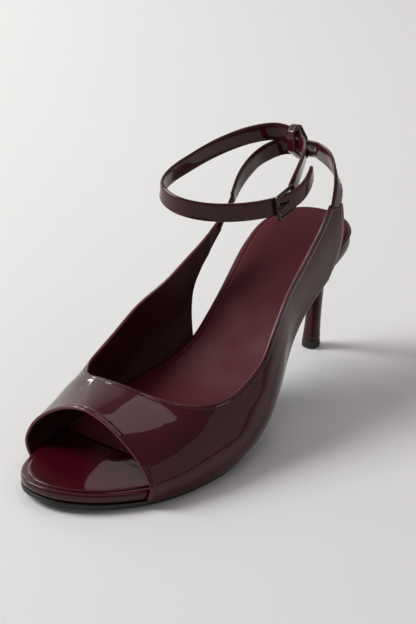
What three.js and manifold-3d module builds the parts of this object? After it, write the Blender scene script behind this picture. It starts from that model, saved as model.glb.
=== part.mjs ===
import * as THREE from 'three';
import { mergeVertices } from 'three/addons/utils/BufferGeometryUtils.js';
import Module from 'manifold-3d';

// Women's left shoe with a peep toe, slingback and ankle strap, EU 37. Millimetres.
// Floor at z 0, heel tip centred on the origin, toe towards +X, wearer's left towards +Y, +Z up.

// Main sizes
const shoeLength = 224;
const ballWidth = 83;
const heelHeight = 70.6;
const instepHeight = 110;
const heelSetForward = 13.7;

// Material thicknesses and gaps
const upperWall = 1.4;
const fitGap = 0.3;
const edgeReveal = 0.4;
const outsoleThick = 2.6;
const boardThickToe = 4.9;
const boardThickHeel = 2.4;
const bandThick = 6.2;
const bandSetIn = 0.5;
const sockThick = 0.9;
const sockEdge = 1.9;

// Heel and heel tip
const tipHeight = 4.6;
const tipLong = 9.9;
const tipWide = 9.4;
const heelTopLong = 26;
const heelTopWide = 20;

// Straps and buckle
const slingWidth = 9.4;
const slingThick = 1.8;
const ankleWidth = 9.6;
const ankleThick = 1.8;
const elasticWidth = 7;
const elasticThick = 1.2;
const keeperWide = 5;
const keeperThick = 1.2;
const frameLong = 16.5;
const barThick = 1.8;
const passGap = 0.8;
const prongThick = 1.4;

// Shape in plan and in height, a row per section: share of the length from the heel back,
// half widths as shares of the ball width, top of the insole as a share of the heel height.
const footRows = [
  { share: 0.000, lateral: 0.000, medial: 0.000, top: 1.066 },
  { share: 0.006, lateral: 0.102, medial: 0.102, top: 1.064 },
  { share: 0.020, lateral: 0.183, medial: 0.181, top: 1.061 },
  { share: 0.060, lateral: 0.284, medial: 0.276, top: 1.048 },
  { share: 0.120, lateral: 0.326, medial: 0.314, top: 1.011 },
  { share: 0.200, lateral: 0.336, medial: 0.287, top: 0.936 },
  { share: 0.280, lateral: 0.346, medial: 0.238, top: 0.817 },
  { share: 0.330, lateral: 0.364, medial: 0.214, top: 0.716 },
  { share: 0.370, lateral: 0.391, medial: 0.209, top: 0.618 },
  { share: 0.440, lateral: 0.460, medial: 0.225, top: 0.432 },
  { share: 0.520, lateral: 0.524, medial: 0.365, top: 0.250 },
  { share: 0.600, lateral: 0.547, medial: 0.457, top: 0.149 },
  { share: 0.670, lateral: 0.542, medial: 0.461, top: 0.111 },
  { share: 0.770, lateral: 0.504, medial: 0.448, top: 0.111 },
  { share: 0.850, lateral: 0.424, medial: 0.414, top: 0.117 },
  { share: 0.910, lateral: 0.318, medial: 0.368, top: 0.129 },
  { share: 0.955, lateral: 0.202, medial: 0.310, top: 0.143 },
  { share: 0.985, lateral: 0.082, medial: 0.232, top: 0.154 },
  { share: 0.997, lateral: 0.000, medial: 0.165, top: 0.159 },
  { share: 1.000, lateral: -0.080, medial: 0.082, top: 0.160 },
];

// Last above the board, a row per section: ridge height as a share of the instep height, ridge
// line off centre, bulge past the board edge and height of the widest point as shares of the
// ball width, fullness of each shoulder (0.55 is a plain ellipse).
const lastRows = [
  { share: 0.06, ridge: 1.22, off: -0.02, outLat: 0.00, outMed: 0.02, upLat: 0.17, upMed: 0.18, fullLat: 0.58, fullMed: 0.50 },
  { share: 0.20, ridge: 1.14, off: -0.02, outLat: 0.00, outMed: 0.04, upLat: 0.17, upMed: 0.18, fullLat: 0.56, fullMed: 0.44 },
  { share: 0.34, ridge: 1.00, off: -0.02, outLat: 0.00, outMed: 0.10, upLat: 0.17, upMed: 0.24, fullLat: 0.46, fullMed: 0.40 },
  { share: 0.43, ridge: 0.86, off: -0.04, outLat: 0.01, outMed: 0.135, upLat: 0.13, upMed: 0.26, fullLat: 0.42, fullMed: 0.52 },
  { share: 0.52, ridge: 0.70, off: -0.05, outLat: 0.02, outMed: 0.088, upLat: 0.10, upMed: 0.22, fullLat: 0.40, fullMed: 0.60 },
  { share: 0.61, ridge: 0.52, off: -0.08, outLat: 0.02, outMed: 0.022, upLat: 0.08, upMed: 0.12, fullLat: 0.43, fullMed: 0.74 },
  { share: 0.68, ridge: 0.42, off: -0.10, outLat: 0.02, outMed: 0.02, upLat: 0.07, upMed: 0.09, fullLat: 0.50, fullMed: 0.76 },
  { share: 0.74, ridge: 0.352, off: -0.10, outLat: 0.01, outMed: 0.03, upLat: 0.07, upMed: 0.09, fullLat: 0.53, fullMed: 0.72 },
  { share: 0.80, ridge: 0.34, off: -0.08, outLat: 0.01, outMed: 0.04, upLat: 0.07, upMed: 0.10, fullLat: 0.42, fullMed: 0.54 },
  { share: 0.86, ridge: 0.33, off: -0.06, outLat: 0.01, outMed: 0.055, upLat: 0.07, upMed: 0.10, fullLat: 0.36, fullMed: 0.42 },
  { share: 0.92, ridge: 0.31, off: -0.06, outLat: 0.01, outMed: 0.05, upLat: 0.07, upMed: 0.10, fullLat: 0.36, fullMed: 0.42 },
];

// Upper as a band that runs from the lateral strap end round the throat to the medial tab.
// Each row joins a point of the topline to a point of the outer border. turn is the place round
// the section: -1 lateral edge of the board, 1 ridge, 3 medial edge. height, where it is given,
// replaces turn and is a share of the instep height. corner marks a sharp corner of the border.
const bandRows = [
  { side: 1, topShare: 0.172, topHeight: 0.880, outShare: 0.130, outHeight: 0.866 },
  { side: 1, topShare: 0.208, topHeight: 0.812, outShare: 0.130, outHeight: 0.785 },
  { side: 1, topShare: 0.252, topHeight: 0.740, outShare: 0.137, outHeight: 0.696 },
  { side: 1, topShare: 0.304, topHeight: 0.663, outShare: 0.156, outHeight: 0.612 },
  { side: 1, topShare: 0.362, topHeight: 0.590, outShare: 0.193, outTurn: -1, corner: true },
  { side: 1, topShare: 0.429, topHeight: 0.500, outShare: 0.320, outTurn: -1 },
  { side: 1, topShare: 0.505, topHeight: 0.394, outShare: 0.450, outTurn: -1 },
  { side: 1, topShare: 0.582, topHeight: 0.323, outShare: 0.570, outTurn: -1 },
  { side: 1, topShare: 0.647, topHeight: 0.300, outShare: 0.680, outTurn: -1 },
  { side: 1, topShare: 0.694, topTurn: 0.530, outShare: 0.780, outTurn: -1 },
  { side: 1, topShare: 0.722, topTurn: 0.700, outShare: 0.864, outTurn: -1, corner: true },
  { side: 1, topShare: 0.729, topTurn: 0.780, outShare: 0.858, outTurn: -0.1 },
  { side: 1, topShare: 0.736, topTurn: 0.860, outShare: 0.857, outTurn: 0.25 },
  { side: 1, topShare: 0.742, topTurn: 1.050, outShare: 0.856, outTurn: 1 },
  { side: -1, topShare: 0.741, topTurn: 1.230, outShare: 0.873, outTurn: 1.75 },
  { side: -1, topShare: 0.732, topTurn: 1.310, outShare: 0.882, outTurn: 2.2 },
  { side: -1, topShare: 0.722, topTurn: 1.375, outShare: 0.887, outTurn: 3, corner: true },
  { side: -1, topShare: 0.686, topTurn: 1.505, outShare: 0.790, outTurn: 3 },
  { side: -1, topShare: 0.610, topHeight: 0.378, outShare: 0.660, outTurn: 3 },
  { side: -1, topShare: 0.515, topHeight: 0.498, outShare: 0.520, outTurn: 3 },
  { side: -1, topShare: 0.436, topHeight: 0.606, outShare: 0.418, outTurn: 3, corner: true },
  { side: -1, topShare: 0.391, topHeight: 0.666, outShare: 0.383, outHeight: 0.395 },
  { side: -1, topShare: 0.351, topHeight: 0.717, outShare: 0.364, outHeight: 0.500 },
  { side: -1, topShare: 0.321, topHeight: 0.755, outShare: 0.331, outHeight: 0.604 },
  { side: -1, topShare: 0.298, topHeight: 0.783, outShare: 0.280, outHeight: 0.716 },
];

// Heel, a row per section upwards: height as a share of the heel above its tip, middle as a share
// of the top length, long and wide as shares of the top of the heel. The last row meets the sole.
const heelRows = [
  { up: 0.001, middle: -0.010, long: 0.368, wide: 0.455 },
  { up: 0.044, middle: -0.020, long: 0.350, wide: 0.430 },
  { up: 0.130, middle: -0.045, long: 0.324, wide: 0.400 },
  { up: 0.291, middle: -0.085, long: 0.312, wide: 0.385 },
  { up: 0.463, middle: -0.130, long: 0.330, wide: 0.400 },
  { up: 0.592, middle: -0.150, long: 0.380, wide: 0.450 },
  { up: 0.688, middle: -0.110, long: 0.500, wide: 0.560 },
  { up: 0.774, middle: 0.000, long: 0.740, wide: 0.760 },
  { up: 0.871, middle: 0.170, long: 1.000, wide: 1.000 },
];

// Straps, a row per point of the middle line: share of the length, across as a share of the
// ball width, up as a share of the instep height.
const slingRows = [
  { share: 0.150, across: 0.316, up: 0.882 },
  { share: 0.138, across: 0.302, up: 0.955 },
  { share: 0.108, across: 0.200, up: 1.022 },
  { share: 0.062, across: 0.020, up: 1.024 },
  { share: 0.023, across: -0.150, up: 0.991 },
  { share: 0.032, across: -0.308, up: 0.980 },
  { share: 0.077, across: -0.376, up: 0.954 },
  { share: 0.137, across: -0.366, up: 0.931 },
  { share: 0.184, across: -0.349, up: 0.890 },
  { share: 0.226, across: -0.322, up: 0.832 },
];
const slingHub = { share: 0.16, across: -0.02 };
const elasticRows = [
  { share: 0.229, across: -0.320, up: 0.828 },
  { share: 0.256, across: -0.303, up: 0.790 },
  { share: 0.284, across: -0.283, up: 0.752 },
];
// One leather strap: from the buckle up to the keeper, round the far side and the front, back
// through the buckle, and on as the free tail.
const ankleRows = [
  { share: 0.238, across: 0.150, up: 0.962 },
  { share: 0.208, across: 0.124, up: 1.000 },
  { share: 0.138, across: 0.038, up: 1.034 },
  { share: 0.072, across: -0.084, up: 1.032 },
  { share: 0.045, across: -0.197, up: 1.045 },
  { share: 0.047, across: -0.325, up: 1.059 },
  { share: 0.094, across: -0.428, up: 1.055 },
  { share: 0.190, across: -0.492, up: 1.041 },
  { share: 0.299, across: -0.512, up: 1.015 },
  { share: 0.375, across: -0.500, up: 0.996 },
  { share: 0.424, across: -0.448, up: 0.978 },
  { share: 0.444, across: -0.350, up: 0.960 },
  { share: 0.446, across: -0.230, up: 0.948 },
  { share: 0.422, across: -0.080, up: 0.938 },
  { share: 0.374, across: 0.062, up: 0.935 },
  { share: 0.318, across: 0.160, up: 0.939 },
  { share: 0.280, across: 0.198, up: 0.946 },
  { share: 0.242, across: 0.218, up: 0.966 },
  { share: 0.208, across: 0.212, up: 0.996 },
  { share: 0.180, across: 0.184, up: 1.026 },
];
const ankleHub = { share: 0.235, across: -0.15 };
// Places along the straps, as shares of their run.
const buckleAt = 0.899;
const keeperOnSling = 0.505;
const keeperOnAnkle = 0.2165;
// Where the keeper looks at the straps that it holds, as shares of its own width.
const keeperShifts = [-0.9, -0.45, 0, 0.45, 0.9];

// Mesh fineness
const fine = 600;
const outlineSteps = 50;
const ribbonSteps = 38;
const bandPitch = 6;
const bandAcross = 12;
const loopSteps = 48;
const girthSteps = 80;
const slopeStep = 2;
const lengthStep = 1;
const turnStep = 0.02;

const wasm = await Module();
wasm.setup();

// Value of one column of a table at a share, smooth and without overshoot.
function columnAt(rows, column, share) {
  const last = rows.length - 1;
  if (share <= rows[0].share) return rows[0][column];
  if (share >= rows[last].share) return rows[last][column];
  let k = 0;
  while (rows[k + 1].share < share) k += 1;
  const slope = (a, b) => (rows[b][column] - rows[a][column]) / (rows[b].share - rows[a].share);
  const tangent = (i) => {
    if (i === 0) return slope(0, 1);
    if (i === last) return slope(last - 1, last);
    const before = slope(i - 1, i);
    const after = slope(i, i + 1);
    if (before * after <= 0) return 0;
    return (2 * before * after) / (before + after);
  };
  const span = rows[k + 1].share - rows[k].share;
  const t = (share - rows[k].share) / span;
  const t2 = t * t;
  const t3 = t2 * t;
  return (
    rows[k][column] * (2 * t3 - 3 * t2 + 1) +
    rows[k + 1][column] * (3 * t2 - 2 * t3) +
    tangent(k) * span * (t3 - 2 * t2 + t) +
    tangent(k + 1) * span * (t3 - t2)
  );
}

const lengthAt = (share) => share * shoeLength - heelSetForward;
const shareAt = (x) => (x + heelSetForward) / shoeLength;

// Insole top and the layers below it.
const boardTop = (x) => columnAt(footRows, 'top', shareAt(x)) * heelHeight;
const ramp = (x, from, to) => THREE.MathUtils.smoothstep(shareAt(x), from, to);
const boardThick = (x) => THREE.MathUtils.lerp(boardThickHeel, boardThickToe, ramp(x, 0.44, 0.62));
const bandDepth = (x) => {
  const slope = (boardTop(x - slopeStep) - boardTop(x + slopeStep)) / (2 * slopeStep);
  return bandThick * Math.sqrt(1 + slope * slope) * (1 - ramp(x, 0.4, 0.62));
};
const boardUnder = (x) => boardTop(x) - boardThick(x);
const soleTop = (x) => boardUnder(x) - bandDepth(x) - fitGap;

// Outline of the foot in plan, closed, toe tip first, medial side back to the heel, then lateral.
const outlineRow = (row, side) =>
  new THREE.Vector3(lengthAt(row.share), side * ballWidth * (side > 0 ? row.lateral : row.medial), 0);
const medialLine = footRows.slice(1).reverse().map((row) => outlineRow(row, -1));
const lateralLine = footRows.slice(0, -1).map((row) => outlineRow(row, 1));
const medialCurve = new THREE.CatmullRomCurve3(
  [lateralLine[lateralLine.length - 1], ...medialLine, lateralLine[0], lateralLine[1]], false, 'centripetal');
const lateralCurve = new THREE.CatmullRomCurve3(
  [medialLine[medialLine.length - 1], ...lateralLine, medialLine[0], medialLine[1]], false, 'centripetal');

// Fine points of one side from the toe tip to the heel back.
function finePoints(curve, fromSpan, toSpan, reverse) {
  const spans = curve.points.length - 1;
  const dense = [];
  for (let i = 0; i <= fine; i += 1) {
    dense.push(curve.getPoint(THREE.MathUtils.lerp(fromSpan / spans, toSpan / spans, i / fine)));
  }
  if (reverse) dense.reverse();
  return dense;
}
// A few of them, closer together at both ends.
function sidePoints(dense) {
  const points = [];
  const travel = [0];
  for (let i = 1; i <= fine; i += 1) travel.push(travel[i - 1] + dense[i].distanceTo(dense[i - 1]));
  const whole = travel[fine];
  let k = 1;
  for (let i = 0; i <= outlineSteps; i += 1) {
    const even = i / outlineSteps;
    const eased = (1 - Math.cos(Math.PI * even)) / 2;
    const want = whole * THREE.MathUtils.lerp(even, eased, 0.55);
    while (k < fine && travel[k] < want) k += 1;
    const t = (want - travel[k - 1]) / Math.max(travel[k] - travel[k - 1], 1e-9);
    points.push(dense[k - 1].clone().lerp(dense[k], THREE.MathUtils.clamp(t, 0, 1)));
  }
  return points;
}
const medialFine = finePoints(medialCurve, 1, medialLine.length + 1, false);
const lateralFine = finePoints(lateralCurve, 1, lateralLine.length + 1, true);
const medialSide = sidePoints(medialFine);
const lateralSide = sidePoints(lateralFine);

// Half width of the outline at a length.
function edgeAt(x, side) {
  const list = side > 0 ? lateralFine : medialFine;
  for (let i = 0; i < fine; i += 1) {
    const a = list[i];
    const b = list[i + 1];
    if (a.x >= x && b.x <= x) {
      const t = (a.x - x) / Math.max(a.x - b.x, 1e-9);
      return THREE.MathUtils.lerp(a.y, b.y, t);
    }
  }
  return 0;
}

// Closed body from a grid of rows of points, each row a closed ring, with flat ends.
function bodyFromRings(rings) {
  const positions = [];
  const index = [];
  const count = rings[0].length;
  rings.forEach((ring) => ring.forEach((p) => positions.push(p.x, p.y, p.z)));
  for (let r = 0; r < rings.length - 1; r += 1) {
    for (let i = 0; i < count; i += 1) {
      const side = (i + 1) % count;
      const a = r * count + i;
      const b = r * count + side;
      const c = b + count;
      const d = a + count;
      const oneWay = rings[r][i].distanceTo(rings[r + 1][side]);
      const otherWay = rings[r][side].distanceTo(rings[r + 1][i]);
      if (oneWay <= otherWay) index.push(a, b, c, a, c, d);
      else index.push(a, b, d, b, c, d);
    }
  }
  const capCentre = (ring) => ring.reduce((sum, p) => sum.add(p), new THREE.Vector3()).divideScalar(count);
  const first = capCentre(rings[0]);
  const end = capCentre(rings[rings.length - 1]);
  const firstId = positions.length / 3;
  positions.push(first.x, first.y, first.z, end.x, end.y, end.z);
  const lastRow = (rings.length - 1) * count;
  for (let i = 0; i < count; i += 1) {
    const next = (i + 1) % count;
    index.push(firstId, next, i);
    index.push(firstId + 1, lastRow + i, lastRow + next);
  }
  return closedGeometry(positions, index);
}

// Closed loop from rings whose last one repeats the first.
function ringBody(rings) {
  const count = rings[0].length;
  const loops = rings.length - 1;
  const positions = [];
  const index = [];
  rings.slice(0, loops).forEach((ring) => ring.forEach((p) => positions.push(p.x, p.y, p.z)));
  for (let r = 0; r < loops; r += 1) {
    const after = (r + 1) % loops;
    for (let i = 0; i < count; i += 1) {
      const side = (i + 1) % count;
      const a = r * count + i;
      const b = r * count + side;
      const c = after * count + side;
      const d = after * count + i;
      index.push(a, b, c, a, c, d);
    }
  }
  return closedGeometry(positions, index);
}

// Geometry whose faces point outwards.
function closedGeometry(positions, index) {
  const geometry = new THREE.BufferGeometry();
  geometry.setAttribute('position', new THREE.Float32BufferAttribute(positions, 3));
  geometry.setIndex(index);
  let volume = 0;
  const a = new THREE.Vector3();
  const b = new THREE.Vector3();
  const c = new THREE.Vector3();
  const place = geometry.getAttribute('position');
  for (let i = 0; i < index.length; i += 3) {
    a.fromBufferAttribute(place, index[i]);
    b.fromBufferAttribute(place, index[i + 1]);
    c.fromBufferAttribute(place, index[i + 2]);
    volume += a.dot(b.cross(c));
  }
  if (volume < 0) {
    for (let i = 0; i < index.length; i += 3) {
      const keep = index[i + 1];
      index[i + 1] = index[i + 2];
      index[i + 2] = keep;
    }
    geometry.setIndex(index);
  }
  return geometry;
}

function toSolid(geometry) {
  const plain = geometry.clone();
  plain.deleteAttribute('normal');
  plain.deleteAttribute('uv');
  const merged = mergeVertices(plain, 1e-4);
  const mesh = new wasm.Mesh({
    numProp: 3,
    vertProperties: new Float32Array(merged.getAttribute('position').array),
    triVerts: new Uint32Array(merged.index.array),
  });
  return new wasm.Manifold(mesh);
}

function toGeometry(solid) {
  const mesh = solid.getMesh();
  const geometry = new THREE.BufferGeometry();
  geometry.setAttribute('position', new THREE.BufferAttribute(new Float32Array(mesh.vertProperties), 3));
  geometry.setIndex(new THREE.BufferAttribute(new Uint32Array(mesh.triVerts), 1));
  return geometry;
}

// Sheet that follows the outline: inset per point, a soft edge, top and under surfaces.
function slab({ inset, top, under, round, from = 0, to = outlineSteps }) {
  const offset = (list, i, side, extra) => {
    const before = list[Math.max(i - 1, 0)];
    const after = list[Math.min(i + 1, outlineSteps)];
    const along = after.clone().sub(before).normalize();
    let inward = new THREE.Vector3(along.y * side, -along.x * side, 0);
    if (i === 0) inward = new THREE.Vector3(-1, 0, 0);
    if (i === outlineSteps) inward = new THREE.Vector3(1, 0, 0);
    return list[i].clone().addScaledVector(inward, inset(list[i].x, side) + extra);
  };
  const profile = [
    { inset: round * 0.9, height: 0 },
    { inset: round * 0.25, height: 0.14 },
    { inset: 0, height: 0.42 },
    { inset: round * 0.12, height: 0.74 },
    { inset: round * 0.5, height: 0.94 },
    { inset: round * 1.2, height: 1 },
  ];
  const rings = [];
  for (let i = from; i <= to; i += 1) {
    const ring = [];
    profile.forEach((step) => {
      const p = offset(medialSide, i, 1, step.inset);
      p.z = THREE.MathUtils.lerp(under(p.x), top(p.x), step.height);
      ring.push(p);
    });
    [...profile].reverse().forEach((step) => {
      const p = offset(lateralSide, i, -1, step.inset);
      p.z = THREE.MathUtils.lerp(under(p.x), top(p.x), step.height);
      ring.push(p);
    });
    rings.push(ring);
  }
  return bodyFromRings(rings);
}

// Keep only the part of a body between two lengths.
function between(geometry, fromX, toX) {
  const long = toX - fromX;
  const box = new THREE.BoxGeometry(long, ballWidth * 2, heelHeight * 3);
  box.translate(fromX + long / 2, 0, heelHeight);
  return toGeometry(toSolid(geometry).intersect(toSolid(box)));
}

// Last surface: point round the section at a length. turn runs -1, 0, 1, 2, 3 from the lateral
// edge of the board over the ridge to the medial edge.
const sharePick = (rows, column, x) => columnAt(rows, column, shareAt(x));
function bezier(p0, p1, p2, p3, t) {
  const s = 1 - t;
  return s * s * s * p0 + 3 * s * s * t * p1 + 3 * s * t * t * p2 + t * t * t * p3;
}
function section(x, side) {
  const low = soleTop(x) + fitGap;
  const out = sharePick(lastRows, side > 0 ? 'outLat' : 'outMed', x) * ballWidth;
  const edge = Math.abs(edgeAt(x, side));
  return {
    low,
    edge,
    wide: edge + out,
    equator: low + sharePick(lastRows, side > 0 ? 'upLat' : 'upMed', x) * ballWidth,
    ridge: sharePick(lastRows, 'ridge', x) * instepHeight,
    off: sharePick(lastRows, 'off', x) * ballWidth * side,
    full: sharePick(lastRows, side > 0 ? 'fullLat' : 'fullMed', x),
  };
}
function lastPoint(x, turn) {
  const side = turn <= 1 ? 1 : -1;
  const s = section(x, side);
  const t = side > 0 ? turn : 2 - turn;
  if (t <= 0) {
    const z = THREE.MathUtils.lerp(s.low, s.equator, 1 + t);
    const y = s.edge + (s.wide - s.edge) * Math.sin(((1 + t) * Math.PI) / 2);
    return new THREE.Vector3(x, side * y, z);
  }
  const rise = s.ridge - s.equator;
  const reach = s.wide - s.off;
  const y = bezier(s.wide, s.wide, s.off + reach * s.full, s.off, t);
  const z = bezier(s.equator, s.equator + rise * s.full, s.ridge, s.ridge, t);
  return new THREE.Vector3(x, side * y, z);
}
// Turn at which the section reaches a height, on one side.
function turnAt(x, height, side) {
  let low = -1;
  let high = 1;
  for (let i = 0; i < 40; i += 1) {
    const mid = (low + high) / 2;
    if (lastPoint(x, side > 0 ? mid : 2 - mid).z < height) low = mid;
    else high = mid;
  }
  const t = (low + high) / 2;
  return side > 0 ? t : 2 - t;
}
// Outward normal of the last.
function lastNormal(x, turn) {
  const alongX = lastPoint(x + lengthStep, turn).sub(lastPoint(x - lengthStep, turn));
  const round = lastPoint(x, Math.min(turn + turnStep, 3)).sub(lastPoint(x, Math.max(turn - turnStep, -1)));
  return round.cross(alongX).normalize();
}

// Running length round the section at a length, as shares of the whole from edge to edge.
function girthAt(x) {
  const shares = [0];
  let before = lastPoint(x, -1);
  for (let i = 1; i <= girthSteps; i += 1) {
    const p = lastPoint(x, THREE.MathUtils.lerp(-1, 3, i / girthSteps));
    shares.push(shares[i - 1] + p.distanceTo(before));
    before = p;
  }
  const whole = shares[girthSteps];
  return shares.map((value) => value / whole);
}
function girthOfTurn(x, turn) {
  const shares = girthAt(x);
  const place = THREE.MathUtils.clamp((turn + 1) / 4, 0, 1) * girthSteps;
  const i = Math.min(Math.floor(place), girthSteps - 1);
  return THREE.MathUtils.lerp(shares[i], shares[i + 1], place - i);
}
function turnOfGirth(x, girth) {
  const shares = girthAt(x);
  let i = 0;
  while (i < girthSteps - 1 && shares[i + 1] < girth) i += 1;
  const t = THREE.MathUtils.clamp((girth - shares[i]) / (shares[i + 1] - shares[i]), 0, 1);
  return ((i + t) / girthSteps) * 4 - 1;
}

// Key lines of the upper in length and share of the girth.
const keyLines = bandRows.map((row) => {
  const topX = lengthAt(row.topShare);
  const outX = lengthAt(row.outShare);
  const pick = (x, turn, height) => (turn === undefined ? turnAt(x, height * instepHeight, row.side) : turn);
  return {
    topX,
    topGirth: girthOfTurn(topX, pick(topX, row.topTurn, row.topHeight)),
    outX,
    outGirth: girthOfTurn(outX, pick(outX, row.outTurn, row.outHeight)),
    corner: row.corner === true,
  };
});
// Smooth value of one column of the key lines, with breaks at the corners where asked.
function keyAt(column, at, breaks) {
  const last = keyLines.length - 1;
  const k = Math.min(Math.floor(at), last - 1);
  const t = at - k;
  const value = (i) => keyLines[THREE.MathUtils.clamp(i, 0, last)][column];
  const sharp = (i) => i === 0 || i === last || (breaks && keyLines[i].corner);
  const start = sharp(k) ? value(k + 1) - value(k) : (value(k + 1) - value(k - 1)) / 2;
  const end = sharp(k + 1) ? value(k + 1) - value(k) : (value(k + 2) - value(k)) / 2;
  const t2 = t * t;
  const t3 = t2 * t;
  return (
    value(k) * (2 * t3 - 3 * t2 + 1) +
    value(k + 1) * (3 * t2 - 2 * t3) +
    start * (t3 - 2 * t2 + t) +
    end * (t3 - t2)
  );
}
function bandPoint(at, across, depth) {
  const x = THREE.MathUtils.lerp(keyAt('topX', at, false), keyAt('outX', at, true), across);
  const girth = THREE.MathUtils.lerp(keyAt('topGirth', at, false), keyAt('outGirth', at, true), across);
  const safe = turnOfGirth(x, THREE.MathUtils.clamp(girth, 0, 1));
  const p = lastPoint(x, safe);
  p.addScaledVector(lastNormal(x, safe), depth);
  p.z = Math.max(p.z, soleTop(p.x) + fitGap);
  return p;
}
function upperGeometry() {
  const stations = [];
  const last = keyLines.length - 1;
  for (let k = 0; k < last; k += 1) {
    const spans = [0, 1].map((across) => bandPoint(k, across, 0).distanceTo(bandPoint(k + 1, across, 0)));
    const steps = Math.max(2, Math.round(Math.max(...spans) / bandPitch));
    for (let i = 0; i < steps; i += 1) stations.push(k + i / steps);
  }
  stations.push(last);
  const rings = stations.map((at) => {
    const ring = [];
    for (let j = 0; j <= bandAcross; j += 1) ring.push(bandPoint(at, j / bandAcross, 0));
    for (let j = bandAcross; j >= 0; j -= 1) ring.push(bandPoint(at, j / bandAcross, upperWall));
    return ring;
  });
  return bodyFromRings(rings);
}

// Strap along a middle line, standing on edge and facing away from the hub.
function strapPath(rows) {
  const points = rows.map((row) => new THREE.Vector3(
    lengthAt(row.share), row.across * ballWidth, row.up * instepHeight));
  return new THREE.CatmullRomCurve3(points, false, 'centripetal');
}
function strapFrame(path, t, hub) {
  const p = path.getPointAt(t);
  const along = path.getTangentAt(t);
  const face = p.clone().sub(new THREE.Vector3(lengthAt(hub.share), hub.across * ballWidth, p.z));
  face.addScaledVector(along, -face.dot(along)).normalize();
  const up = face.clone().cross(along).normalize();
  return { p, along, face, up };
}
function strap({ path, hub, width, thick, from = 0, to = 1, steps = ribbonSteps, lift = 0 }) {
  const corner = thick * 0.3;
  const half = { w: width / 2, t: thick / 2 };
  const shape = [
    [half.w - corner, half.t], [half.w, half.t - corner], [half.w, corner - half.t], [half.w - corner, -half.t],
    [corner - half.w, -half.t], [-half.w, corner - half.t], [-half.w, half.t - corner], [corner - half.w, half.t],
  ];
  const rings = [];
  for (let i = 0; i <= steps; i += 1) {
    const f = strapFrame(path, THREE.MathUtils.lerp(from, to, i / steps), hub);
    rings.push(shape.map(([w, t]) =>
      f.p.clone().addScaledVector(f.up, w).addScaledVector(f.face, t + lift)));
  }
  return bodyFromRings(rings);
}

const group = new THREE.Group();
function add(name, geometry, material) {
  const mesh = new THREE.Mesh(geometry, material);
  mesh.name = name;
  group.add(mesh);
}
const patent = (tint) => new THREE.MeshStandardMaterial({ color: tint, roughness: 0.12, metalness: 0 });
const dull = (tint, roughness) => new THREE.MeshStandardMaterial({ color: tint, roughness, metalness: 0 });

// Sole layers
add('outsole', between(
  slab({ inset: () => edgeReveal, top: soleTop, under: (x) => soleTop(x) - outsoleThick, round: 0.7 }),
  lengthAt(0.175), shoeLength), dull('#17130f', 0.7));
add('insole_board', slab({ inset: () => edgeReveal, top: boardTop, under: boardUnder, round: 1.3 }), patent('#3b0614'));
const bandTop = (x) => boardUnder(x) - fitGap;
add('edge_band', between(
  slab({ inset: () => edgeReveal + bandSetIn, top: bandTop, under: (x) => soleTop(x) + fitGap, round: 1 }),
  -shoeLength, lengthAt(0.52)), patent('#33060f'));
add('sock_lining', between(
  slab({
    inset: () => edgeReveal + sockEdge,
    top: (x) => boardTop(x) + fitGap + sockThick,
    under: (x) => boardTop(x) + fitGap,
    round: 0.4,
  }),
  -shoeLength, lengthAt(0.775)), dull('#45161d', 0.55));

add('upper', upperGeometry(), patent('#3f0616'));

// Heel: rounded at the back, flatter at the breast, its top following the seat above.
function heelRing(long, wide, middle, heightAt) {
  const ring = [];
  const count = 20;
  for (let i = 0; i < count; i += 1) {
    const angle = (i / count) * Math.PI * 2;
    const c = Math.cos(angle);
    const squareness = c > 0 ? 0.62 : 0.9;
    const x = middle + (long / 2) * Math.sign(c) * Math.pow(Math.abs(c), squareness);
    const y = (wide / 2) * Math.sign(Math.sin(angle)) * Math.pow(Math.abs(Math.sin(angle)), 0.85);
    ring.push(new THREE.Vector3(x, y, heightAt(x)));
  }
  return ring;
}
const heelRings = heelRows.map((row, i) => {
  const flat = i < heelRows.length - 1;
  return heelRing(row.long * heelTopLong, row.wide * heelTopWide, row.middle * heelTopLong,
    (x) => (flat ? THREE.MathUtils.lerp(tipHeight + fitGap, heelHeight, row.up) : soleTop(x)));
});
add('heel', bodyFromRings(heelRings), patent('#33060f'));
const tipRings = [
  { up: 0, size: 0.94 },
  { up: 0.12, size: 1 },
  { up: 0.82, size: 0.98 },
  { up: 1, size: 0.94 },
].map((row) => heelRing(tipLong * row.size, tipWide * row.size, 0, () => row.up * tipHeight));
add('heel_tip', bodyFromRings(tipRings), dull('#141211', 0.6));

// Straps
const slingPath = strapPath(slingRows);
add('sling_strap', strap({
  path: slingPath, hub: slingHub, width: slingWidth, thick: slingThick,
}), patent('#3a0614'));
add('elastic', strap({
  path: strapPath(elasticRows), hub: slingHub, width: elasticWidth, thick: elasticThick, steps: 8,
}), dull('#24070d', 0.8));

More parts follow.
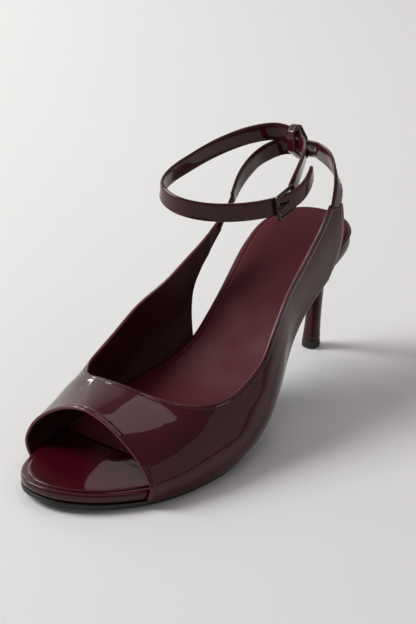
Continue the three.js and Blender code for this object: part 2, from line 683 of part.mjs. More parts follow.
// Buckle: a flat frame that the strap passes through, front bar outside and rear bar inside.
const anklePath = strapPath(ankleRows);
const seat = strapFrame(anklePath, buckleAt, ankleHub);
const barDepth = ankleThick / 2 + passGap + barThick / 2;
const frameWide = ankleWidth + 2 * (fitGap + barThick);
const tilt = Math.asin((2 * barDepth) / (frameLong - barThick));
const frameAlong = seat.along.clone().multiplyScalar(Math.cos(tilt)).addScaledVector(seat.face, -Math.sin(tilt));
const frameFace = frameAlong.clone().cross(seat.up).normalize();
if (frameFace.dot(seat.face) < 0) frameFace.negate();
const frameUp = frameFace.clone().cross(frameAlong).normalize();
const buckleMatrix = new THREE.Matrix4().makeBasis(frameAlong, frameUp, frameFace).setPosition(seat.p);
function roundedOutline(target, long, wide, radius) {
  const x = long / 2;
  const y = wide / 2;
  target.moveTo(radius - x, -y);
  target.lineTo(x - radius, -y);
  target.absarc(x - radius, radius - y, radius, -Math.PI / 2, 0, false);
  target.lineTo(x, y - radius);
  target.absarc(x - radius, y - radius, radius, 0, Math.PI / 2, false);
  target.lineTo(radius - x, y);
  target.absarc(radius - x, y - radius, radius, Math.PI / 2, Math.PI, false);
  target.lineTo(-x, radius - y);
  target.absarc(radius - x, radius - y, radius, Math.PI, Math.PI * 1.5, false);
  return target;
}
const frameShape = roundedOutline(new THREE.Shape(), frameLong, frameWide, 2);
frameShape.holes.push(roundedOutline(new THREE.Path(), frameLong - 2 * barThick, frameWide - 2 * barThick, 0.6));
const frameBody = new THREE.ExtrudeGeometry(frameShape, {
  depth: barThick * 0.5, bevelEnabled: true, bevelThickness: barThick * 0.25, bevelSize: barThick * 0.2,
  bevelOffset: -barThick * 0.2, bevelSegments: 1, curveSegments: 3,
});
frameBody.translate(0, 0, -barThick * 0.25);
frameBody.applyMatrix4(buckleMatrix);
add('buckle_frame', frameBody, new THREE.MeshStandardMaterial({ color: '#2b2624', roughness: 0.3, metalness: 0.9 }));

// Prong: hinged on the rear bar, through the strap, its point resting on the front bar.
const prongStart = new THREE.Vector3(frameLong / 2 - barThick - fitGap - prongThick / 2, 0, 0);
const prongEnd = new THREE.Vector3(-frameLong / 2 - 0.4, 0, barThick / 2 + fitGap + prongThick / 2);
const prongLine = new THREE.LineCurve3(prongStart.applyMatrix4(buckleMatrix), prongEnd.applyMatrix4(buckleMatrix));
function prongBody(radius) {
  const along = line3(prongLine);
  const long = along.length();
  const body = new THREE.CylinderGeometry(radius, radius, long, 10);
  body.applyQuaternion(new THREE.Quaternion().setFromUnitVectors(new THREE.Vector3(0, 1, 0), along.normalize()));
  const middle = prongLine.v1.clone().add(prongLine.v2).multiplyScalar(0.5);
  body.translate(middle.x, middle.y, middle.z);
  return body;
}
function line3(line) {
  return line.v2.clone().sub(line.v1);
}
add('buckle_prong', prongBody(prongThick / 2), new THREE.MeshStandardMaterial({
  color: '#3a3432', roughness: 0.25, metalness: 0.9 }));

// Ankle strap with the hole that the prong passes through.
const ankleBody = strap({
  path: anklePath, hub: ankleHub, width: ankleWidth, thick: ankleThick, steps: 76,
});
add('ankle_strap', toGeometry(toSolid(ankleBody).subtract(toSolid(prongBody(prongThick / 2 + fitGap)))),
  patent('#3c0615'));

// Keeper: a leather loop round both straps at the back. Its section is the outline of the two
// strap sections together, a clearance further out.
const loopPlace = strapFrame(slingPath, keeperOnSling, slingHub);
const strapCorners = [];
[[slingPath, keeperOnSling, slingHub, slingWidth, slingThick],
  [anklePath, keeperOnAnkle, ankleHub, ankleWidth, ankleThick]].forEach(([path, at, hub, width, thick]) => {
  keeperShifts.forEach((shift) => {
    const f = strapFrame(path, at + (shift * keeperWide) / path.getLength(), hub);
    [[1, 1], [1, -1], [-1, -1], [-1, 1]].forEach(([w, t]) => {
      const corner = f.p.clone().addScaledVector(f.up, (w * width) / 2).addScaledVector(f.face, (t * thick) / 2);
      corner.sub(loopPlace.p);
      strapCorners.push([corner.dot(loopPlace.face), corner.dot(loopPlace.up)]);
    });
  });
});
const loopRings = [];
for (let i = 0; i <= loopSteps; i += 1) {
  const angle = ((i % loopSteps) / loopSteps) * Math.PI * 2;
  const out = [Math.cos(angle), Math.sin(angle)];
  const reach = (corner) => corner[0] * out[0] + corner[1] * out[1];
  const far = strapCorners.reduce((best, corner) => (reach(corner) > reach(best) ? corner : best));
  loopRings.push([[-1, 0], [1, 0], [1, 1], [-1, 1]].map(([across, layer]) => {
    const offset = fitGap + layer * keeperThick;
    return loopPlace.p.clone()
      .addScaledVector(loopPlace.along, (across * keeperWide) / 2)
      .addScaledVector(loopPlace.face, far[0] + out[0] * offset)
      .addScaledVector(loopPlace.up, far[1] + out[1] * offset);
  }));
}
add('back_keeper', ringBody(loopRings), patent('#3a0614'));

group.updateMatrixWorld(true);
export default group;
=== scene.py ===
import math

import bmesh
import bpy
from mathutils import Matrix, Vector
from mathutils.bvhtree import BVHTree
from mathutils.kdtree import KDTree


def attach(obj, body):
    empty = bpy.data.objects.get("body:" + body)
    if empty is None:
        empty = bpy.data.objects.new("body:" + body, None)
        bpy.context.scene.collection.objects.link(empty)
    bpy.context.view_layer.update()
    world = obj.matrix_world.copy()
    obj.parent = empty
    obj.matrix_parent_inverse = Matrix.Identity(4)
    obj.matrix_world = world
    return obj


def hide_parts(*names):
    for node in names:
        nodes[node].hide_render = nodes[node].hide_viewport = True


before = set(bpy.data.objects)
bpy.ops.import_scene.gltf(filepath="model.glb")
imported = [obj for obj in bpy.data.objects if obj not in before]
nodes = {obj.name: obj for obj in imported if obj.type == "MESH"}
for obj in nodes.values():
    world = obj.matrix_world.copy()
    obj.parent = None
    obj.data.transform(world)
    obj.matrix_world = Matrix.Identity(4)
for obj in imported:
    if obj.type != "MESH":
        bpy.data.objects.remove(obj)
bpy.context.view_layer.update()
down = Vector((0, 0, -1))


def addObject(name, data):
    item = bpy.data.objects.new(name, data)
    bpy.context.scene.collection.objects.link(item)
    return item


# Turns a camera or a lamp towards a place
def aim(item, place, target):
    item.location = place
    item.rotation_euler = (Vector(target) - Vector(place)).to_track_quat("-Z", "Y").to_euler()


# Camera: above and ahead of the toe, on the lateral side, with a long lens
camera = {
    "place": Vector((0.6515, 0.4395, 0.4046)),
    "lookAt": Vector((0.0900, -0.0010, 0.0545)),
    "lens": 93.0,
    "sensor": 36.0,
    "nearest": 0.01,
}


def setCamera():
    data = bpy.data.cameras.new("camera")
    data.lens = camera["lens"]
    data.sensor_width = camera["sensor"]
    data.clip_start = camera["nearest"]
    holder = addObject("camera", data)
    aim(holder, camera["place"], camera["lookAt"])
    bpy.context.scene.camera = holder


setCamera()
print("camera done")

noiseMostly = (0.3, 0.7)  # where most of a noise lies, between 0 and 1


# Node tools for the materials
class Shader:
    def __init__(self, name):
        self.material = bpy.data.materials.new(name)
        self.material.use_nodes = True
        self.tree = self.material.node_tree
        self.main = self.tree.nodes["Principled BSDF"]
        self.place = self.add("ShaderNodeTexCoord").outputs["Object"]

    def add(self, kind, **values):
        node = self.tree.nodes.new(kind)
        for key, value in values.items():
            setattr(node, key, value)
        return node

    def link(self, source, target):
        self.tree.links.new(source, target)

    def set(self, values):
        for key, value in values.items():
            self.main.inputs[key].default_value = value

    def noise(self, scale, detail):
        texture = self.add("ShaderNodeTexNoise")
        texture.inputs["Scale"].default_value = scale
        texture.inputs["Detail"].default_value = detail
        self.link(self.place, texture.inputs["Vector"])
        return texture.outputs["Fac"]

    def span(self, source, low, high, toLow, toHigh):
        node = self.add("ShaderNodeMapRange")
        node.inputs["From Min"].default_value = low
        node.inputs["From Max"].default_value = high
        node.inputs["To Min"].default_value = toLow
        node.inputs["To Max"].default_value = toHigh
        self.link(source, node.inputs["Value"])
        return node.outputs["Result"]

    def compute(self, how, first, second=0.0):
        node = self.add("ShaderNodeMath", operation=how)
        node.inputs[1].default_value = second
        self.link(first, node.inputs[0])
        return node.outputs[0]

    # Base colour from two stops, each a place on the source and a colour
    def colour(self, source, stops):
        node = self.add("ShaderNodeValToRGB")
        for element, (position, tone) in zip(node.color_ramp.elements, stops):
            element.position = position
            element.color = (*tone, 1.0)
        self.link(source, node.inputs["Fac"])
        self.link(node.outputs["Color"], self.main.inputs["Base Color"])

    def roughness(self, look):
        rough = self.span(self.noise(*look["noise"]), *noiseMostly, look["low"], look["high"])
        self.link(rough, self.main.inputs["Roughness"])

    # Bump layers from rows of grain: scale, detail, strength and depth
    def grain(self, rows):
        return [(self.noise(scale, detail), strength, depth) for scale, detail, strength, depth in rows]

    # Bump layer of a line beside an edge: peak is 1 where it is raised and -1 where it is pressed
    def line(self, look):
        rim = self.add("ShaderNodeAttribute", attribute_name="rim").outputs["Fac"]
        away = self.compute("ABSOLUTE", self.compute("SUBTRACT", rim, look["at"]))
        return [(self.span(away, 0.0, look["halfWidth"], look["peak"], 0.0), 1.0, look["height"])]

    def bump(self, layers, target="Normal"):
        last = None
        for source, strength, depth in layers:
            node = self.add("ShaderNodeBump")
            node.inputs["Strength"].default_value = strength
            node.inputs["Distance"].default_value = depth
            self.link(source, node.inputs["Height"])
            if last is not None:
                self.link(last, node.inputs["Normal"])
            last = node.outputs["Normal"]
        if last is not None:
            self.link(last, self.main.inputs[target])


# Burgundy patent: deep coloured leather under a clear hard gloss
patentLook = {
    "cloud": (46.0, 3.0),
    "stops": [(0.35, (0.036, 0.0005, 0.0038)), (0.7, (0.058, 0.0009, 0.0064))],
    "shader": {
        "Roughness": 0.4,
        "Specular IOR Level": 0.1,
        "Coat Weight": 0.76,
        "Coat Roughness": 0.035,
        "Coat IOR": 1.42,
    },
    "ripple": [(38.0, 1.0, 0.5, 0.00045)],
    "grain": [(900.0, 2.0, 0.35, 0.000035)],
    "darker": 0.8,
    "seam": {"at": 0.0022, "halfWidth": 0.0006, "height": 0.00025, "peak": 1.0},
}


def patentMaterial(name, shade=1.0, line=None):
    look = patentLook
    s = Shader(name)
    stops = [(at, tuple(part * shade for part in tone)) for at, tone in look["stops"]]
    s.colour(s.noise(*look["cloud"]), stops)
    s.set(look["shader"])
    ripple = s.grain(look["ripple"])
    seam = s.line(line) if line else []
    s.bump(ripple + s.grain(look["grain"]) + seam)
    s.bump(ripple + seam, "Coat Normal")
    return s.material


# Any other leather, rubber, metal or paint: a cloud of two tones, a roughness and a grain
def surfaceMaterial(name, look):
    s = Shader(name)
    s.colour(s.noise(*look["cloud"]), look["stops"])
    s.set(look["shader"])
    if "roughness" in look:
        s.roughness(look["roughness"])
    s.bump(s.grain(look["grain"]) + (s.line(look["line"]) if "line" in look else []))
    return s.material


liningLook = {
    "cloud": (220.0, 4.0),
    "stops": [(0.3, (0.034, 0.0040, 0.0070)), (0.75, (0.050, 0.0068, 0.0105))],
    "shader": {"Roughness": 0.55, "Specular IOR Level": 0.25},
    "grain": [(1800.0, 3.0, 0.5, 0.00006)],
}
# Matte sock with a line pressed in beside its edge
sockLook = {
    "cloud": (28.0, 4.0),
    "stops": [(0.3, (0.066, 0.0062, 0.0110)), (0.72, (0.082, 0.0088, 0.0145))],
    "shader": {"Specular IOR Level": 0.12},
    "roughness": {"noise": (60.0, 3.0), "low": 0.48, "high": 0.62},
    "grain": [(1500.0, 3.0, 0.45, 0.00006), (420.0, 2.0, 0.3, 0.00008)],
    "line": {"at": 0.0024, "halfWidth": 0.0007, "height": 0.00035, "peak": -1.0},
}
soleLook = {
    "cloud": (120.0, 5.0),
    "stops": [(0.3, (0.006, 0.005, 0.005)), (0.75, (0.016, 0.013, 0.012))],
    "shader": {},
    "roughness": {"noise": (90.0, 3.0), "low": 0.42, "high": 0.62},
    "grain": [(1400.0, 3.0, 0.5, 0.00008)],
}
gunmetalLook = {
    "cloud": (300.0, 3.0),
    "stops": [(0.3, (0.045, 0.038, 0.036)), (0.75, (0.085, 0.070, 0.066))],
    "shader": {"Metallic": 1.0},
    "roughness": {"noise": (500.0, 3.0), "low": 0.16, "high": 0.30},
    "grain": [(2200.0, 2.0, 0.25, 0.00003)],
}
threadLook = {
    "cloud": (1500.0, 2.0),
    "stops": [(0.3, (0.030, 0.002, 0.006)), (0.75, (0.060, 0.006, 0.012))],
    "shader": {"Roughness": 0.6},
    "grain": [(4000.0, 2.0, 0.4, 0.00003)],
}
# Leather edge: pale fibres where it is cut
cutEdgeLook = {
    "cloud": (1600.0, 4.0),
    "stops": [(0.3, (0.16, 0.060, 0.052)), (0.75, (0.34, 0.17, 0.15))],
    "shader": {"Roughness": 0.75},
    "grain": [(2600.0, 3.0, 0.5, 0.00005)],
}
# Wall edge of the upper: a lighter glossy tone that is a painted highlight along the rounded rim
rimHighlightLook = {
    "cloud": (1600.0, 4.0),
    "stops": [(0.3, (0.105, 0.014, 0.024)), (0.75, (0.15, 0.028, 0.040))],
    "shader": {"Roughness": 0.3},
    "grain": [(2600.0, 3.0, 0.5, 0.00005)],
}
elasticLook = {
    "waveScale": 900.0,
    "waveDistortion": 1.0,
    "stops": [(0.2, (0.020, 0.0022, 0.0045)), (0.8, (0.055, 0.0070, 0.0120))],
    "shader": {"Roughness": 0.8},
    "strength": 0.7,
    "depth": 0.00015,
}


def elasticMaterial():
    look = elasticLook
    s = Shader("elastic_weave")
    wave = s.add("ShaderNodeTexWave", wave_type="BANDS", bands_direction="DIAGONAL")
    wave.inputs["Scale"].default_value = look["waveScale"]
    wave.inputs["Distortion"].default_value = look["waveDistortion"]
    s.link(s.place, wave.inputs["Vector"])
    s.colour(wave.outputs["Fac"], look["stops"])
    s.set(look["shader"])
    s.bump([(wave.outputs["Fac"], look["strength"], look["depth"])])
    return s.material


patent = patentMaterial("patent_burgundy")
patentSeamed = patentMaterial("patent_seamed", line=patentLook["seam"])
patentDark = patentMaterial("patent_shaded", patentLook["darker"])
lining = surfaceMaterial("shoe_lining", liningLook)
sockLeather = surfaceMaterial("sock_leather", sockLook)
soleRubber = surfaceMaterial("sole_rubber", soleLook)
elasticWeave = elasticMaterial()
gunmetal = surfaceMaterial("gunmetal", gunmetalLook)
thread = surfaceMaterial("thread", threadLook)
cutEdge = surfaceMaterial("cut_edge", cutEdgeLook)
rimHighlight = surfaceMaterial("rim_painted_highlight", rimHighlightLook)
print("materials done")

# How the copies of the solids are made: lengths in metres, angles in degrees
meshing = {
    "weld": 0.00002,
    "quadAngle": 38.0,
    "quadShape": 60.0,
    "hardAngle": 34.0,
}


def smoothFaces(data):
    for face in data.polygons:
        face.use_smooth = True


def meshPiece(name, verts, faces):
    data = bpy.data.meshes.new(name)
    data.from_pydata(verts, [], faces)
    smoothFaces(data)
    return addObject(name, data)


def weldedMesh(node):
    bm = bmesh.new()
    bm.from_mesh(nodes[node].data)
    bmesh.ops.remove_doubles(bm, verts=bm.verts, dist=meshing["weld"])
    return bm


def sharpEdges(bm, angle):
    limit = math.radians(angle)
    return [edge for edge in bm.edges if len(edge.link_faces) == 2 and edge.calc_face_angle() > limit]


# Smooth copy of a node: its faces joined to quads, its hard edges kept a little soft
def softCopy(name, node, crease, levels):
    bm = weldedMesh(node)
    bmesh.ops.join_triangles(
        bm, faces=bm.faces, cmp_seam=False, cmp_sharp=False, cmp_uvs=False, cmp_vcols=False,
        cmp_materials=False, angle_face_threshold=math.radians(meshing["quadAngle"]),
        angle_shape_threshold=math.radians(meshing["quadShape"]))
    bmesh.ops.recalc_face_normals(bm, faces=bm.faces)
    layer = bm.edges.layers.float.new("crease_edge")
    for edge in sharpEdges(bm, meshing["hardAngle"]):
        edge[layer] = crease
    data = bpy.data.meshes.new(name)
    bm.to_mesh(data)
    bm.free()
    piece = addObject(name, data)
    smoother = piece.modifiers.new("smooth", "SUBSURF")
    smoother.levels = levels
    smoother.render_levels = levels
    applyModifiers(piece)
    smoothFaces(piece.data)
    return piece


def applyModifiers(piece):
    bpy.context.view_layer.update()
    depsgraph = bpy.context.evaluated_depsgraph_get()
    data = bpy.data.meshes.new_from_object(piece.evaluated_get(depsgraph))
    piece.modifiers.clear()
    old = piece.data
    piece.data = data
    bpy.data.meshes.remove(old)


# Points along the sharp edges of a node, close together
def sharpPoints(node, angle, step):
    bm = weldedMesh(node)
    points = []
    for edge in sharpEdges(bm, angle):
        first, second = edge.verts[0].co, edge.verts[1].co
        count = max(1, int((second - first).length / step))
        points += [first.lerp(second, i / count) for i in range(count)]
    bm.free()
    return points


# Distance of every vertex to the nearest of the points, kept for the material
def markRim(piece, points):
    tree = KDTree(len(points))
    for i, point in enumerate(points):
        tree.insert(point, i)
    tree.balance()
    rim = piece.data.attributes.new("rim", "FLOAT", "POINT")
    for vertex in piece.data.vertices:
        rim.data[vertex.index].value = tree.find(vertex.co)[2]


# Split what is longer than a length, so that fine marks keep their shape
def refine(piece, longest, rounds):
    bm = bmesh.new()
    bm.from_mesh(piece.data)
    for _ in range(rounds):
        long = [edge for edge in bm.edges if edge.calc_length() > longest]
        if not long:
            break
        bmesh.ops.subdivide_edges(bm, edges=long, cuts=1, use_grid_fill=True)
    bm.to_mesh(piece.data)
    bm.free()
    smoothFaces(piece.data)


def surfaceOf(*names):
    verts, faces = [], []
    for name in names:
        data = nodes[name].data
        base = len(verts)
        verts += [vertex.co.copy() for vertex in data.vertices]
        faces += [[base + i for i in face.vertices] for face in data.polygons]
    return BVHTree.FromPolygons(verts, faces)


def finishPiece(piece, materials, slot, *replaced):
    piece.data.materials.clear()
    for material in materials:
        piece.data.materials.append(material)
    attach(piece, "root")
    if replaced:
        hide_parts(*replaced)


# A node's visual piece from its dictionary
def dressNode(look):
    piece = softCopy(look["name"], look["node"], look["crease"], look["levels"])
    finishPiece(piece, look["materials"], look["slot"], look["node"])
    return piece


# Line inside the upper that tells its outer skin from its lining side
footLine = {
    "y": 0.004,
    "lookFrom": 0.15,
    "groundPastBoard": 0.01,
    "overGround": 0.012,
}
insoleSurface = surfaceOf("insole_board", "sock_lining")


def innerAxis(x):
    hit = insoleSurface.ray_cast(Vector((x, footLine["y"], footLine["lookFrom"])), down)[0]
    height = hit.z if hit else footLine["groundPastBoard"]
    return Vector((x, footLine["y"], height + footLine["overGround"]))


# 1 on the outer skin of the upper and -1 on its lining side
def vertexSide(place, normal):
    return 1 if normal.dot(place - innerAxis(place.x)) > 0 else -1


# Soft creases: middle, run and half width in metres in the shoe's frame, deep is towards the foot
def softFolds(piece, folds):
    normals = [vertex.normal.copy() for vertex in piece.data.vertices]
    for fold in folds:
        middle = Vector(fold["middle"])
        run = Vector(fold["run"])
        half = run.length / 2
        along = run.normalized()
        for vertex, normal in zip(piece.data.vertices, normals):
            offset = vertex.co - middle
            way = offset.dot(along)
            beside = (offset - along * way).length
            if abs(way) < half and beside < fold["wide"]:
                lengthwise = math.cos(math.pi / 2 * way / half)
                sideways = (math.cos(math.pi * beside / fold["wide"]) + 1) / 2
                depth = fold["deep"] * lengthwise * sideways
                vertex.co -= normal * depth * vertexSide(vertex.co, normal)


# Upper: patent skin, matte lining and a lighter glossy tone on the wall's edge, a painted highlight of
# the rounded rim
upperLook = {
    "name": "upper_leather",
    "node": "upper",
    "slot": "upper_patent",
    "materials": [patentSeamed, lining, rimHighlight],
    "crease": 0.6,
    "levels": 2,
    "rimAngle": 60,
    "rimStep": 0.0004,
    "soleClear": 0.0042,
    "startIn": 0.0002,
    "wall": 0.0021,
    "folds": [
        {"middle": (0.150, 0.016, 0.036), "run": (0.006, 0.040, 0), "wide": 0.006, "deep": 0.0003},
        {"middle": (0.142, -0.020, 0.038), "run": (0.014, -0.026, 0), "wide": 0.005, "deep": 0.0003},
        {"middle": (0.120, 0.044, 0.022), "run": (0.050, 0.004, -0.006), "wide": 0.008, "deep": 0.0003},
        {"middle": (0.070, 0.036, 0.055), "run": (0.060, 0.010, -0.030), "wide": 0.009, "deep": 0.0003},
        {"middle": (0.060, -0.025, 0.072), "run": (0.002, 0.004, 0.020), "wide": 0.004, "deep": 0.0004},
        {"middle": (0.068, -0.027, 0.068), "run": (0.002, 0.004, 0.020), "wide": 0.004, "deep": 0.0003},
    ],
}


# The sharp edges of the upper, without the lasting edge that lies along the sole
def upperRim():
    soleSurface = surfaceOf("outsole")
    points = sharpPoints("upper", upperLook["rimAngle"], upperLook["rimStep"])
    return [point for point in points if soleSurface.find_nearest(point)[3] > upperLook["soleClear"]]


# A face with more than the wall behind it lies on the wall's edge
def paintUpper(piece):
    solid = surfaceOf("upper")
    skinSide, liningSide, wallEdge = range(3)
    for face in piece.data.polygons:
        start = face.center - face.normal * upperLook["startIn"]
        through = solid.ray_cast(start, -face.normal)[3]
        if through and through > upperLook["wall"]:
            face.material_index = wallEdge
        elif vertexSide(face.center, face.normal) < 0:
            face.material_index = liningSide
        else:
            face.material_index = skinSide


upper = dressNode(upperLook)
softFolds(upper, upperLook["folds"])
markRim(upper, upperRim())
paintUpper(upper)
print("upper done")

# Board and band: two wrapped layers with a dark groove between them
board = {
    "name": "board_wrap",
    "node": "insole_board",
    "slot": "board_wrap",
    "materials": [patent],
    "crease": 0.3,
    "levels": 2,
}
band = {
    "name": "band_wrap",
    "node": "edge_band",
    "slot": "band_wrap",
    "materials": [patentDark],
    "crease": 0.5,
    "levels": 2,
}
# Sock: its mesh is split finely, so that the line pressed in beside its edge keeps its shape
sock = {
    "name": "sock_cover",
    "node": "sock_lining",
    "slot": "sock",
    "materials": [sockLeather],
    "crease": 0.3,
    "levels": 1,
    "longestEdge": 0.0022,
    "rounds": 5,
    "rimAngle": 25,
    "rimStep": 0.0006,
}
dressNode(board)
dressNode(band)
sockPiece = dressNode(sock)
refine(sockPiece, sock["longestEdge"], sock["rounds"])
markRim(sockPiece, sharpPoints(sock["node"], sock["rimAngle"], sock["rimStep"]))

# Patent cover of the toe: a thin plate set in from the edge of the board
toeCover = {
    "middle": Vector((0.1608, 0.004, 0.0)),
    "setIn": 0.0032,
    "thick": 0.0006,
    "under": 0.0008,
    "round": 0.0012,
    "sideLow": 0.0055,
    "sideRise": 0.0032,
    "lookFrom": 0.1,
    "weld": 0.00001,
    "spokes": 72,
    "rings": [0.0, 0.2, 0.4, 0.6, 0.75, 0.86, 0.92, 0.95, 0.97, 0.985, 1.0],
}


# Half an outline round the toe, set in from the side of the board
def toeBorder(surface):
    border = []
    for i in range(toeCover["spokes"] + 1):
        angle = math.pi * (i / toeCover["spokes"] - 0.5)
        way = Vector((math.cos(angle), math.sin(angle), 0))
        height = Vector((0, 0, toeCover["sideLow"] + toeCover["sideRise"] * math.cos(angle)))
        start = toeCover["middle"] + way * toeCover["lookFrom"] + height
        border.append(surface.ray_cast(start, -way)[0] - way * toeCover["setIn"])
    return border


def addToeCover():
    surface = surfaceOf("insole_board")
    middle = toeCover["middle"]
    border = toeBorder(surface)
    verts, faces = [], []
    for edge in border:
        reach = Vector((edge.x - middle.x, edge.y - middle.y, 0))
        for share in toeCover["rings"]:
            place = middle + reach * share
            inside = min(1.0, reach.length * (1 - share) / toeCover["round"])
            ground = surface.ray_cast(Vector((place.x, place.y, toeCover["lookFrom"])), down)[0]
            lift = toeCover["thick"] * math.sqrt(1 - (1 - inside) ** 2)
            verts.append(Vector((place.x, place.y, ground.z + lift)))
    count = len(toeCover["rings"])
    for i in range(len(border) - 1):
        for j in range(count - 1):
            a = i * count + j
            faces.append((a, a + 1, a + count + 1, a + count))
    piece = meshPiece("toe_cover", verts, faces)
    welded = piece.modifiers.new("weld", "WELD")
    welded.merge_threshold = toeCover["weld"]
    under = piece.modifiers.new("under", "SOLIDIFY")
    under.thickness = toeCover["under"]
    under.offset = -1.0
    applyModifiers(piece)
    finishPiece(piece, [patent], "board_wrap")


addToeCover()

# Sole, wrapped heel and the top piece that the heel stands on
sole = {
    "name": "sole_thin",
    "node": "outsole",
    "slot": "outsole",
    "materials": [soleRubber],
    "crease": 0.5,
    "levels": 2,
}
heel = {
    "name": "heel_wrapped",
    "node": "heel",
    "slot": "heel_wrap",
    "materials": [patentDark],
    "crease": 0.8,
    "levels": 2,
}
topPiece = {
    "name": "heel_top_piece",
    "node": "heel_tip",
    "slot": "tip",
    "materials": [soleRubber],
    "crease": 0.85,
    "levels": 2,
}
dressNode(sole)
dressNode(heel)
dressNode(topPiece)
print("sole and heel done")


def ringMiddle(ring):
    return sum(ring, Vector()) / len(ring)


# Rings of vertices along a strap, from the middle of the end cap that is nearest to a place
def strapRings(node, near, sides=8):
    bm = weldedMesh(node)
    start = min(bm.verts, key=lambda vertex: (vertex.co - Vector(near)).length)
    seen = {start}
    ring = {edge.other_vert(start) for edge in start.link_edges}
    rings = []
    while len(ring) == sides:
        rings.append([vertex.co.copy() for vertex in sorted(ring, key=lambda vertex: vertex.index)])
        seen |= ring
        ring = {edge.other_vert(vertex) for vertex in ring for edge in vertex.link_edges} - seen
    bm.free()
    return rings


# Middle of each ring, with the ways along, across the width and out of the strap
def strapFrames(rings):
    middles = [ringMiddle(ring) for ring in rings]
    frames = []
    for i, ring in enumerate(rings):
        along = (middles[min(i + 1, len(rings) - 1)] - middles[max(i - 1, 0)]).normalized()
        ordered = sorted(ring, key=lambda point: point.z)
        rough = ordered[-1] - ordered[0]
        ordered = sorted(ring, key=lambda point: (point - middles[i]).dot(rough))
        up = ordered[-1] + ordered[-2] - ordered[0] - ordered[1]
        up = (up - along * up.dot(along)).normalized()
        if frames and up.dot(frames[-1][2]) < 0:
            up = -up
        frames.append((middles[i], along, up, along.cross(up).normalized()))
    return frames


# Strap end drawn out by a short length, so that it goes under the piece that holds it
drawnEnd = {
    "reach": 0.004,
    "near": 0.012,
}


def drawOut(piece, rings, length):
    middle = ringMiddle(rings[0])
    inward = (ringMiddle(rings[1]) - middle).normalized()
    for vertex in piece.data.vertices:
        way = (vertex.co - middle).dot(inward)
        if way < drawnEnd["reach"] and (vertex.co - middle).length < drawnEnd["near"]:
            vertex.co -= inward * length * (1 - max(way, 0) / drawnEnd["reach"])


# Small rounded stitches: profile rows give the place along a stitch and its size there
stitch = {
    "pitch": 0.0031,
    "long": 0.0022,
    "wide": 0.0005,
    "high": 0.00022,
    "edgeIn": 0.0015,
    "strapHalf": 0.00078,
    "sides": 6,
    "profile": [(-0.5, 0.3), (-0.36, 0.85), (0.0, 1.0), (0.36, 0.85), (0.5, 0.3)],
}


# Stitches along a strap, near both of its edges and on both of its faces
def stitchRows(name, runs, width, slot):
    verts, faces = [], []
    for frames in runs:
        travel = [0.0]
        for before, after in zip(frames, frames[1:]):
            travel.append(travel[-1] + (after[0] - before[0]).length)
        for number in range(1, int(travel[-1] / stitch["pitch"])):
            at = number * stitch["pitch"]
            k = max(i for i, value in enumerate(travel[:-1]) if value <= at)
            t = (at - travel[k]) / (travel[k + 1] - travel[k])
            middle, along, up, out = [a.lerp(b, t) for a, b in zip(frames[k], frames[k + 1])]
            for edge in (-1, 1):
                for side in (-1, 1):
                    aside = up * edge * (width / 2 - stitch["edgeIn"])
                    place = middle + aside + out * side * stitch["strapHalf"]
                    addStitch(verts, faces, place, along, up, out * side)
    finishPiece(meshPiece(name, verts, faces), [thread], slot)


def addStitch(verts, faces, place, along, across, out):
    base = len(verts)
    sides = stitch["sides"]
    last = len(stitch["profile"]) - 1
    for share, size in stitch["profile"]:
        for i in range(sides):
            angle = math.tau * i / sides
            verts.append(
                place + along * share * stitch["long"]
                + across * math.cos(angle) * size * stitch["wide"] / 2
                + out * math.sin(angle) * size * stitch["high"])
    for row in range(last):
        for i in range(sides):
            a = base + row * sides + i
            b = base + row * sides + (i + 1) % sides
            faces.append((a, b, b + sides, a + sides))
    faces.append(tuple(base + i for i in range(sides)))
    faces.append(tuple(base + last * sides + i for i in reversed(range(sides))))


# Sling strap, from the lateral quarter round the back to the elastic
sling = {
    "name": "sling_leather",
    "node": "sling_strap",
    "slot": "sling_patent",
    "materials": [patent],
    "crease": 0.5,
    "levels": 2,
    "lateralEnd": (0.0199, 0.0262, 0.0970),
    "wide": 0.0094,
    "under": 0.0022,
}
slingPiece = dressNode(sling)
slingRings = strapRings(sling["node"], sling["lateralEnd"])
drawOut(slingPiece, slingRings, sling["under"])
stitchRows("sling_stitches", [strapFrames(slingRings)], sling["wide"], sling["slot"])

# Elastic between the sling strap and the medial tab, under both of them
elastic = {
    "name": "elastic_band",
    "node": "elastic",
    "slot": "elastic",
    "materials": [elasticWeave],
    "crease": 0.5,
    "levels": 2,
    "ends": [(0.0376, -0.0266, 0.0911), (0.0499, -0.0235, 0.0827)],
    "under": 0.003,
}
elasticPiece = dressNode(elastic)
for end in elastic["ends"]:
    drawOut(elasticPiece, strapRings(elastic["node"], end), elastic["under"])

# Ankle strap with its free tail, whose end is cut
ankle = {
    "name": "ankle_leather",
    "node": "ankle_strap",
    "slot": "ankle_patent",
    "materials": [patent, cutEdge],
    "crease": 0.5,
    "levels": 2,
    "start": (0.0396, 0.0125, 0.1058),
    "tail": (0.0266, 0.0153, 0.1129),
    "wide": 0.0096,
    "endNear": 0.007,
    "endFacing": 0.7,
}


def cutTail(piece, rings):
    end = ringMiddle(rings[0])
    outward = (end - ringMiddle(rings[1])).normalized()
    for face in piece.data.polygons:
        near = (face.center - end).length < ankle["endNear"]
        if near and face.normal.dot(outward) > ankle["endFacing"]:
            face.material_index = 1


anklePiece = dressNode(ankle)
startRings = strapRings(ankle["node"], ankle["start"])
tailRings = strapRings(ankle["node"], ankle["tail"])
ankleRuns = [strapFrames(startRings), strapFrames(tailRings)]
stitchRows("ankle_stitches", ankleRuns, ankle["wide"], ankle["slot"])
cutTail(anklePiece, tailRings)

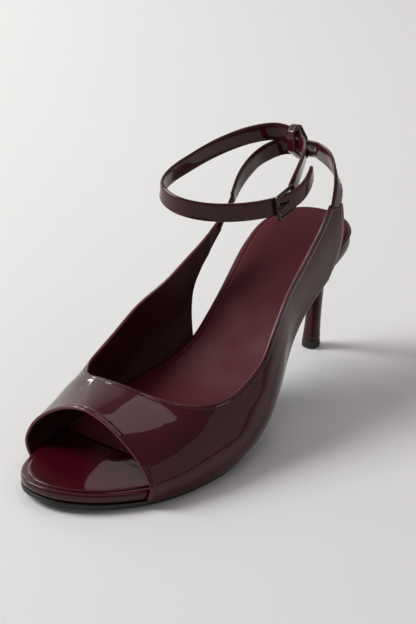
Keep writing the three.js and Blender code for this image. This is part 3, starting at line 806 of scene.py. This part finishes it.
# Keeper loop at the back, and the buckle with its prong
keeper = {
    "name": "keeper_leather",
    "node": "back_keeper",
    "slot": "keeper_patent",
    "materials": [patent],
    "crease": 0.6,
    "levels": 2,
}
buckle = {
    "name": "buckle_cast",
    "node": "buckle_frame",
    "slot": "buckle",
    "materials": [gunmetal],
    "crease": 0.6,
    "levels": 2,
}
prong = {
    "name": "buckle_tongue",
    "node": "buckle_prong",
    "slot": "prong",
    "materials": [gunmetal],
    "crease": 0.6,
    "levels": 2,
}
dressNode(keeper)
dressNode(buckle)
dressNode(prong)
print("straps done")

# Studio: one pale sheet that rises behind the shoe, soft lights and pale air
studio = {
    "floorWide": 7.0,
    "floorFront": 4.0,
    "floorBack": -1.2,
    "floorDrop": 0.0001,
    "rise": 1.6,
    "bend": 0.5,
    "bendSteps": 16,
    "air": (0.93, 0.94, 0.95, 1),
    "airStrength": 0.2,
}
floorLook = {
    "cloud": (3.0, 2.0),
    "stops": [(0.3, (0.74, 0.74, 0.73)), (0.8, (0.7478, 0.7478, 0.7381))],
    "shader": {"Roughness": 0.85, "Specular IOR Level": 0.2},
    "grain": [],
}


def studioSheet():
    back, bend, steps = studio["floorBack"], studio["bend"], studio["bendSteps"]
    profile = [(studio["floorFront"], 0.0), (back + bend, 0.0)]
    for i in range(1, steps + 1):
        angle = math.pi / 2 * i / steps
        profile.append((back + bend - bend * math.sin(angle), bend * (1 - math.cos(angle))))
    profile.append((back, studio["rise"]))
    facing = (camera["place"] - camera["lookAt"]).xy.normalized()
    across = Vector((-facing.y, facing.x))
    verts = []
    for along, up in profile:
        for side in (-1, 1):
            place = facing * along + across * side * studio["floorWide"] / 2
            verts.append((place.x, place.y, up - studio["floorDrop"]))
    faces = [(2 * i, 2 * i + 1, 2 * i + 3, 2 * i + 2) for i in range(len(profile) - 1)]
    sheet = meshPiece("floor", verts, faces)
    sheet.data.materials.append(surfaceMaterial("floor_paint", floorLook))


# Lamps: a large window and four weaker ones that draw the highlights; sizes in metres, power in watts
lamps = {
    "window_left": {
        "place": (0.9, -1.5, 1.5), "target": (0.1, 0, 0.03),
        "wide": 0.9, "high": 1.3, "power": 49, "colour": (1, 1, 1),
    },
    "overhead": {
        "place": (-0.35, -0.05, 1.5), "target": (0.15, 0, 0.03),
        "wide": 0.85, "high": 0.6, "power": 2.8, "colour": (1.0, 0.84, 0.87),
    },
    "panes_upright": {
        "place": (-0.56, -1.22, 0.66), "target": (0.16, 0, 0.03),
        "wide": 0.09, "high": 0.42, "power": 1.6, "colour": (1, 1, 1),
    },
    "panes_level": {
        "place": (-0.74, -1.10, 0.46), "target": (0.16, 0, 0.03),
        "wide": 0.5, "high": 0.07, "power": 1.6, "colour": (1, 1, 1),
    },
    "side_right": {
        "place": (-0.2, 1.9, 0.9), "target": (0.1, 0, 0.03),
        "wide": 2.2, "high": 1.5, "power": 4, "colour": (1.0, 0.90, 0.92),
    },
}


def areaLight(name, look):
    data = bpy.data.lights.new(name, "AREA")
    data.shape = "RECTANGLE"
    data.size = look["wide"]
    data.size_y = look["high"]
    data.energy = look["power"]
    data.color = look["colour"]
    lamp = addObject(name, data)
    lamp.visible_camera = False
    aim(lamp, look["place"], look["target"])


def studioAir():
    world = bpy.data.worlds.new("studio_air")
    world.use_nodes = True
    background = world.node_tree.nodes["Background"]
    background.inputs["Color"].default_value = studio["air"]
    background.inputs["Strength"].default_value = studio["airStrength"]
    bpy.context.scene.world = world


studioSheet()
for name, look in lamps.items():
    areaLight(name, look)
studioAir()
bpy.context.scene.view_settings.view_transform = "Standard"
print("studio done")
